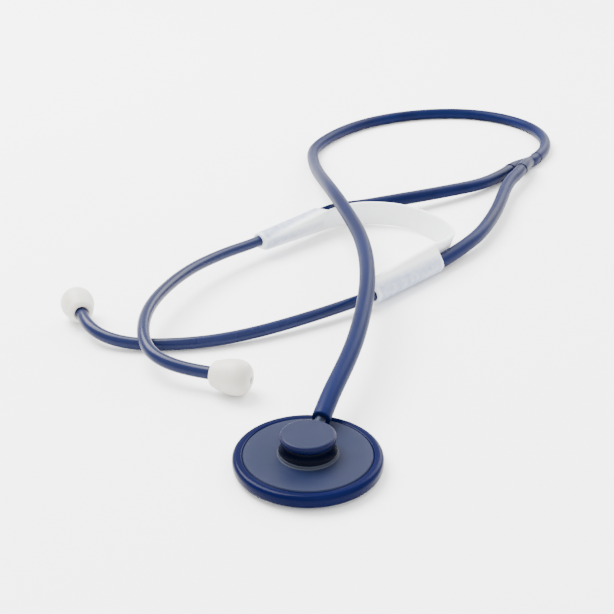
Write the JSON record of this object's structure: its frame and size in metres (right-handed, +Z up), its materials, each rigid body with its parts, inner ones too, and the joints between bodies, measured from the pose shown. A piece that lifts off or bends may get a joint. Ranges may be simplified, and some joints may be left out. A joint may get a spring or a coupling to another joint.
{
  "type": "stethoscope",
  "caption": "Acoustic stethoscope: flat chestpiece, hose, Y joint and sprung, crossed ear tubes with soft tips; it carries body sounds to the ears.",
  "frame": {"origin": "centre of the listening face of the chestpiece, which lies on the table", "axes": "+Z up off the table, +Y from the chestpiece towards the far end of the hose's loop, +X to the right of that"},
  "size_m": [0.2297, 0.4012, 0.0209],
  "materials": {
    "head_metal": "satin grey-blue coating",
    "stem_metal": "plain metal",
    "diaphragm_plastic": "smooth thin plastic sheet",
    "rim_plastic": "gloss blue",
    "hose_vinyl": "satin navy blue vinyl",
    "spring_plastic": "frosted white",
    "ear_tube_plastic": "satin navy blue, rigid",
    "tip_vinyl": "soft off-white"
  },
  "bodies": {
    "tubing": {"main_tube": "hose_vinyl", "y_connector": "hose_vinyl", "left_branch_tube": "hose_vinyl", "right_branch_tube": "hose_vinyl", "spring_band": "spring_plastic"},
    "head": {"chestpiece_body": "head_metal", "hub_cap": "head_metal", "tube_stem": "stem_metal", "diaphragm": "diaphragm_plastic", "diaphragm_rim": "rim_plastic"},
    "left_arm": {"left_spring_sleeve": "spring_plastic", "left_ear_tube": "ear_tube_plastic"},
    "left_tip": {"left_ear_tip": "tip_vinyl"},
    "right_arm": {"right_spring_sleeve": "spring_plastic", "right_ear_tube": "ear_tube_plastic"},
    "right_tip": {"right_ear_tip": "tip_vinyl"}
  },
  "joints": [
    {"name": "left_arm_spread", "type": "hinge", "parent": "tubing", "child": "left_arm", "pos_m": [0.0505, 0.186, 0.006], "axis": [-0.3998, 0, -0.9166], "range_deg": [0, 34], "stiffness_Nm_per_rad": 0.3, "deforming": ["spring_band", "left_branch_tube"]},
    {"name": "right_arm_spread", "type": "hinge", "parent": "tubing", "child": "right_arm", "pos_m": [0.0505, 0.186, 0.006], "axis": [0, 0, 1], "range_deg": [0, 34], "stiffness_Nm_per_rad": 0.3, "deforming": ["spring_band", "right_branch_tube"]},
    {"name": "left_tip_pull", "type": "slide", "parent": "left_arm", "child": "left_tip", "axis": [0.9543, -0.2981, -0.0196], "range_m": [0, 0.009]},
    {"name": "right_tip_pull", "type": "slide", "parent": "right_arm", "child": "right_tip", "axis": [-0.3847, 0.9218, 0.0483], "range_m": [0, 0.009]},
    {"name": "head_swivel", "type": "hinge", "parent": "tubing", "child": "head", "pos_m": [0, 0, 0.00557], "axis": [0.2813, 0.9376, 0.2042], "range_deg": [-180, 180]}
  ],
  "couplings": [
    {"joint": "right_arm_spread", "follows": "left_arm_spread", "ratio": 1}
  ]
}
